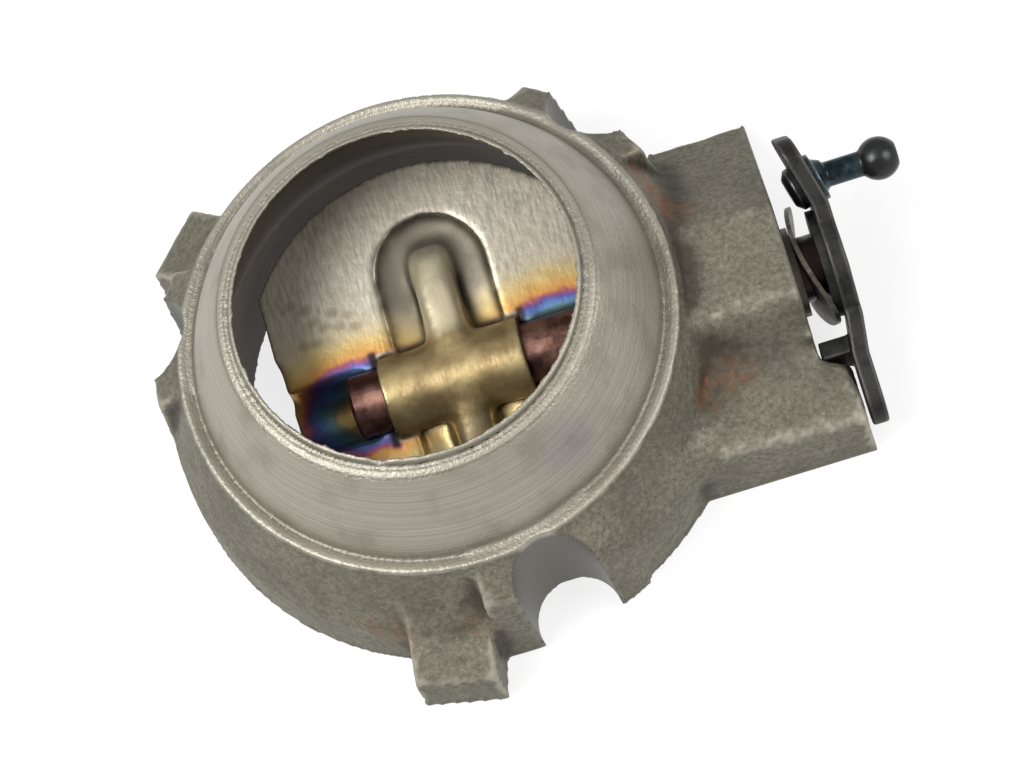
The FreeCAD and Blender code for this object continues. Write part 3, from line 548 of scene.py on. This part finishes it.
def make_iron():
    """Sand-cast iron with turned faces, worn edges, a dark passage and light rust."""
    f = Finish("cast_iron", 0.55)
    fine = f.noise(0.9, 4.0, 0.75)
    broad = f.noise(9.0, 3.0, 0.6)
    cast = f.mix(f.spread(fine, 0.32, 0.68), shade(88, 85, 73), shade(122, 118, 103))
    cast = f.mix(f.spread(broad, 0.35, 0.7, 0.0, 0.45), cast, shade(80, 76, 64))
    specks = f.spread(f.noise(0.5, 2.0, 0.8), 0.6, 0.72)
    cast = f.mix(f.math("MULTIPLY", specks, 0.3), cast, shade(176, 172, 158))
    cast = f.mix(f.math("MULTIPLY", f.attribute("worn"), 0.55), cast, shade(176, 171, 155))
    # Painted shade in creases and concave spots
    cast = f.mix(f.math("MULTIPLY", f.attribute("crevice_shade"), 0.6), cast, shade(58, 54, 46))
    # Painted shade in the broad hollows
    cast = f.mix(f.math("MULTIPLY", f.attribute("hollow_shade"), 0.7), cast, shade(56, 49, 42))

    marks = f.rings(0.25)
    turned = f.mix(f.spread(marks, 0.3, 0.7), shade(140, 136, 123), shade(155, 150, 137))
    rim_lines = f.math("MULTIPLY", f.spread(f.rings(0.7, 0.0), 0.5, 0.36), f.attribute("rim"))
    turned = f.mix(f.math("MULTIPLY", rim_lines, 0.55), turned, shade(104, 99, 87))
    turned = f.mix(f.spread(f.noise(7.0, 3.0), 0.45, 0.75, 0.0, 0.6), turned, shade(122, 116, 103))
    pits = f.spread(f.noise(0.7, 2.0, 0.7), 0.68, 0.78)
    turned = f.mix(f.math("MULTIPLY", pits, 0.5), turned, shade(96, 90, 78))
    # Painted shade in the broad hollows of the turned faces
    turned = f.mix(f.math("MULTIPLY", f.attribute("hollow_shade"), 0.5), turned, shade(84, 78, 68))
    turned = f.mix(f.attribute("purple"), turned, shade(112, 92, 112))
    colour = f.mix(f.attribute("cast"), f.mix(f.attribute("turned"), shade(84, 80, 70), turned), cast)
    colour = f.mix(f.attribute("inside"), colour, f.mix(broad, shade(52, 46, 39), shade(80, 72, 61)))
    rust_grain = f.spread(f.noise(1.6, 4.0, 0.7), 0.38, 0.62)
    rust = f.math("MULTIPLY", f.attribute("rust"), rust_grain, clamp=True)
    colour = f.mix(rust, colour, shade(126, 74, 34))

    # The mix node's first vector socket is its factor, so the sand relief lies on the turned faces
    sand = f.bump(f.noise(0.6, 3.0, 0.6), 0.16)
    grooves = f.bump(marks, 0.012)
    normal = f.add("ShaderNodeMix", data_type="VECTOR")
    f.link(f.attribute("cast"), normal.inputs["Factor"])
    vectors = [socket for socket in normal.inputs if socket.type == "VECTOR"]
    f.link(grooves, vectors[0])
    f.link(sand, vectors[1])
    normal_out = [socket for socket in normal.outputs if socket.type == "VECTOR"][0]
    roughness = f.spread(f.math("ADD", f.attribute("cast"), f.attribute("inside")), 0.0, 1.0, 0.42, 0.62)
    return f.finish(colour, roughness, normal_out)


def make_sheet():
    """Pressed stainless sheet: brushed, gilded by heat on the sleeve, with heat tints around the welds."""
    f = Finish("flap_sheet", 0.7)
    brush = f.noise(0.5, 3.0, 0.6, (1.0, 14.0, 1.0))
    cloud = f.noise(6.0, 3.0, 0.6)
    base = f.mix(f.spread(brush, 0.3, 0.7), shade(152, 145, 130), shade(182, 176, 162))
    base = f.mix(f.spread(cloud, 0.4, 0.7, 0.0, 0.5), base, shade(150, 143, 124))
    # Painted shade on the floor of the pressed channels
    base = f.mix(f.attribute("sunk"), base, f.mix(cloud, shade(98, 92, 80), shade(126, 119, 105)))
    gold = f.mix(f.spread(cloud, 0.3, 0.7), shade(142, 116, 68), shade(188, 166, 114))
    base = f.mix(f.math("MULTIPLY", f.attribute("gold"), 0.85), base, gold)
    warp = f.math("MULTIPLY", f.math("SUBTRACT", f.noise(3.0, 2.0), 0.5), 2.4)
    heat = f.math("DIVIDE", f.math("ADD", f.attribute("tint_reach"), warp), TINT_SPAN)
    tints = f.ramp(heat, [
        (0.17, shade(176, 150, 94)),
        (0.21, shade(118, 130, 108)),
        (0.25, shade(104, 140, 148)),
        (0.30, shade(82, 112, 162)),
        (0.35, shade(84, 72, 130)),
        (0.39, shade(142, 76, 86)),
        (0.43, shade(184, 134, 70)),
        (0.53, shade(184, 160, 104)),
        (0.70, shade(178, 166, 134)),
    ])
    tinted = f.spread(heat, 0.5, 0.85, 1.0, 0.0)
    tinted = f.math("MULTIPLY", tinted, f.math("SUBTRACT", 1.0, f.attribute("sleeve")))
    base = f.mix(tinted, base, tints)
    base = f.mix(f.math("MULTIPLY", f.attribute("stain"), 0.45), base, shade(104, 88, 56))
    # Painted shade in the sheet's creases
    base = f.mix(f.math("MULTIPLY", f.attribute("crevice_shade"), 0.75), base, shade(50, 44, 34))
    # Painted highlight on the rib's top
    base = f.mix(f.math("MULTIPLY", f.attribute("rib_top_highlight"), 0.8), base, shade(226, 214, 180))
    # Painted shadow line along the channels' outer edge
    base = f.mix(f.math("MULTIPLY", f.attribute("outline_shadow"), 0.8), base, shade(50, 45, 36))
    base = f.mix(f.math("MULTIPLY", f.attribute("worn"), 0.08), base, shade(222, 212, 180))
    # Painted shade over the slits beside the sleeve ends
    base = f.mix(f.math("MULTIPLY", f.attribute("slit_shade"), 0.9), base, shade(38, 33, 27))
    dirt = f.spread(f.noise(0.5, 3.0, 0.8), 0.66, 0.8)
    base = f.mix(f.math("MULTIPLY", dirt, 0.5), base, shade(96, 88, 70))
    normal = f.bump(brush, 0.02)
    normal = f.bump(f.noise(1.5, 3.0), 0.04, normal)
    dull = f.math("MULTIPLY", f.math("MAXIMUM", f.attribute("sunk"), f.attribute("slit_shade")), 0.22)
    return f.finish(base, f.math("ADD", f.spread(cloud, 0.3, 0.7, 0.3, 0.42), dull), normal)


def make_turned_steel(name, dark, light, roughness, metallic=0.8, shade_past_boss=0.0):
    """Turned or drawn steel with marks along the shaft and smudges, and painted shade beyond the boss whose
    strength is the last argument.
    """
    f = Finish(name, metallic)
    smudge = f.noise(3.0, 3.0, 0.6)
    colour = f.mix(f.spread(smudge, 0.35, 0.65), dark, light)
    colour = f.mix(f.spread(f.noise(0.6, 2.0, 0.8), 0.62, 0.75, 0.0, 0.4), colour, shade(60, 50, 42))
    # Painted shade: beyond the boss, between the washers and the lever, the colour goes dark
    shaded_past_boss = f.spread(f.axes()[0], BOSS_END - 3.0, BOSS_END + 1.5, 0.0, shade_past_boss)
    colour = f.mix(shaded_past_boss, colour, shade(26, 24, 22))
    normal = f.bump(f.along_shaft(0.35), 0.01)
    return f.finish(colour, f.spread(smudge, 0.3, 0.7, roughness - 0.06, roughness + 0.1), normal)


def make_lever_steel():
    """Dark phosphate on steel, rubbed bright along its edges."""
    f = Finish("lever_steel", 0.6)
    cloud = f.noise(4.0, 3.0, 0.6)
    colour = f.mix(f.spread(cloud, 0.35, 0.65), shade(22, 22, 22), shade(40, 40, 38))
    fine = f.noise(0.5, 3.0, 0.7)
    colour = f.mix(f.spread(fine, 0.5, 0.75, 0.0, 0.25), colour, shade(66, 65, 60))
    colour = f.mix(f.math("MULTIPLY", f.attribute("worn"), 0.3), colour, shade(104, 101, 92))
    # Painted shade in the lever's creases
    colour = f.mix(f.math("MULTIPLY", f.attribute("crevice_shade"), 0.6), colour, shade(24, 23, 21))
    normal = f.bump(f.noise(0.8, 3.0, 0.6), 0.03)
    return f.finish(colour, f.spread(cloud, 0.3, 0.7, 0.42, 0.56), normal)


def make_stud_steel():
    """Hardened steel, blue-black with a teal stem."""
    f = Finish("stud_steel", 0.75)
    cloud = f.noise(2.2, 3.0, 0.6)
    colour = f.mix(f.spread(cloud, 0.35, 0.65), shade(20, 29, 33), shade(45, 62, 68))
    on_ball = f.spread(f.axes()[0], BALL_START, BALL_FULL)
    colour = f.mix(on_ball, colour, f.mix(cloud, shade(28, 29, 30), shade(58, 58, 58)))
    on_head = f.spread(f.axes()[0], HEAD_END, HEAD_START)
    colour = f.mix(on_head, colour, shade(26, 26, 27))
    colour = f.mix(f.math("MULTIPLY", f.attribute("worn"), 0.3), colour, shade(150, 158, 160))
    normal = f.bump(f.noise(0.6, 2.0), 0.012)
    return f.finish(colour, f.spread(cloud, 0.3, 0.7, 0.26, 0.38), normal)


def dress_nodes():
    """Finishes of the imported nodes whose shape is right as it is."""
    shaft = make_turned_steel("shaft_steel", shade(96, 66, 58), shade(146, 108, 96), 0.32, shade_past_boss=0.9)
    bushing = make_turned_steel("bushing_steel", shade(92, 84, 74), shade(132, 124, 112), 0.45)
    washer = make_turned_steel("washer_steel", shade(92, 88, 78), shade(124, 119, 106), 0.42, shade_past_boss=0.45)
    spring = make_turned_steel("spring_steel", shade(74, 70, 62), shade(122, 116, 102), 0.38, shade_past_boss=0.4)
    weld = make_turned_steel("weld_metal", shade(80, 72, 66), shade(120, 112, 104), 0.5)
    collar = make_turned_steel("collar_steel", shade(22, 22, 21), shade(38, 38, 36), 0.5, 0.6)
    finishes = {
        "shaft": shaft, "inner_bushing": bushing, "outer_bushing": bushing, "thrust_washer": washer,
        "spring_washer": spring, "left_weld": weld, "right_weld": weld, "lever_collar": collar,
    }
    for node, material in finishes.items():
        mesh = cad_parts[node].data
        mesh.materials.clear()
        mesh.materials.append(material)


# Camera, floor and lights
def make_camera():
    data = bpy.data.cameras.new("camera")
    data.sensor_width = SENSOR_WIDTH
    data.lens = FOCAL_PIXELS / PHOTO_WIDTH * SENSOR_WIDTH
    data.clip_start = 0.01
    camera = bpy.data.objects.new("camera", data)
    right = CAMERA_RIGHT.normalized()
    back = right.cross(CAMERA_UP).normalized()
    up = back.cross(right)
    turn = Matrix((right, up, back)).transposed()
    camera.matrix_world = Matrix.Translation(CAMERA_PLACE) @ turn.to_4x4()
    bpy.context.collection.objects.link(camera)
    bpy.context.scene.camera = camera


def seen_directly(tree):
    """1 for rays that come from the camera, a mirror or glass."""
    path = tree.nodes.new("ShaderNodeLightPath")
    share = path.outputs["Is Camera Ray"]
    for name in ("Is Glossy Ray", "Is Transmission Ray"):
        node = tree.nodes.new("ShaderNodeMath")
        node.operation = "MAXIMUM"
        tree.links.new(share, node.inputs[0])
        tree.links.new(path.outputs[name], node.inputs[1])
        share = node.outputs[0]
    return share


def make_floor():
    """A white floor that still takes the part's shadow."""
    half = 3.0
    mesh = bpy.data.meshes.new("floor")
    corners = [(-half, -half, 0), (half, -half, 0), (half, half, 0), (-half, half, 0)]
    mesh.from_pydata(corners, [], [(0, 1, 2, 3)])
    floor = bpy.data.objects.new("floor", mesh)
    floor.location.z = -0.2 * MM
    bpy.context.collection.objects.link(floor)
    material = bpy.data.materials.new("floor")
    material.use_nodes = True
    tree = material.node_tree
    shader = tree.nodes["Principled BSDF"]
    shader.inputs["Base Color"].default_value = (0.85, 0.85, 0.85, 1)
    shader.inputs["Roughness"].default_value = 0.9
    glow = tree.nodes.new("ShaderNodeEmission")
    glow.inputs["Color"].default_value = (1, 1, 1, 1)
    glow.inputs["Strength"].default_value = 1.0
    mixer = tree.nodes.new("ShaderNodeMixShader")
    share = tree.nodes.new("ShaderNodeMath")
    share.operation = "MULTIPLY"
    share.inputs[1].default_value = 0.8
    tree.links.new(seen_directly(tree), share.inputs[0])
    tree.links.new(share.outputs[0], mixer.inputs[0])
    tree.links.new(shader.outputs[0], mixer.inputs[1])
    tree.links.new(glow.outputs[0], mixer.inputs[2])
    tree.links.new(mixer.outputs[0], tree.nodes["Material Output"].inputs["Surface"])
    mesh.materials.append(material)


def make_world():
    world = bpy.data.worlds.new("studio")
    bpy.context.scene.world = world
    world.use_nodes = True
    background = world.node_tree.nodes["Background"]
    background.inputs["Color"].default_value = (1, 1, 1, 1)
    background.inputs["Strength"].default_value = 0.55


def add_lamp(name, place, target, size, power):
    """A soft square lamp, placed and aimed in millimetres."""
    data = bpy.data.lights.new(name, "AREA")
    data.shape = "SQUARE"
    data.size = size * MM
    data.energy = power
    lamp = bpy.data.objects.new(name, data)
    lamp.location = Vector(place) * MM
    aim = (Vector(target) - Vector(place)).normalized()
    lamp.rotation_mode = "QUATERNION"
    lamp.rotation_quaternion = aim.to_track_quat("-Z", "Y")
    bpy.context.collection.objects.link(lamp)


def make_lights():
    make_world()
    add_lamp("key_lamp", (-350, -70, 600), (0, 0, 15), 380, 5.4)
    add_lamp("side_lamp", (430, -120, 400), (20, -10, 10), 300, 1.9)


make_camera()
make_floor()
make_lights()
make_housing()
make_flap()
make_rounded("lever", "lever_arm", LEVER_VOXEL, LEVER_ROUNDS, make_lever_steel())
make_rounded("ball_stud", "ball_pin", STUD_VOXEL, STUD_ROUNDS, make_stud_steel())
dress_nodes()
bpy.context.scene.view_settings.view_transform = "Standard"
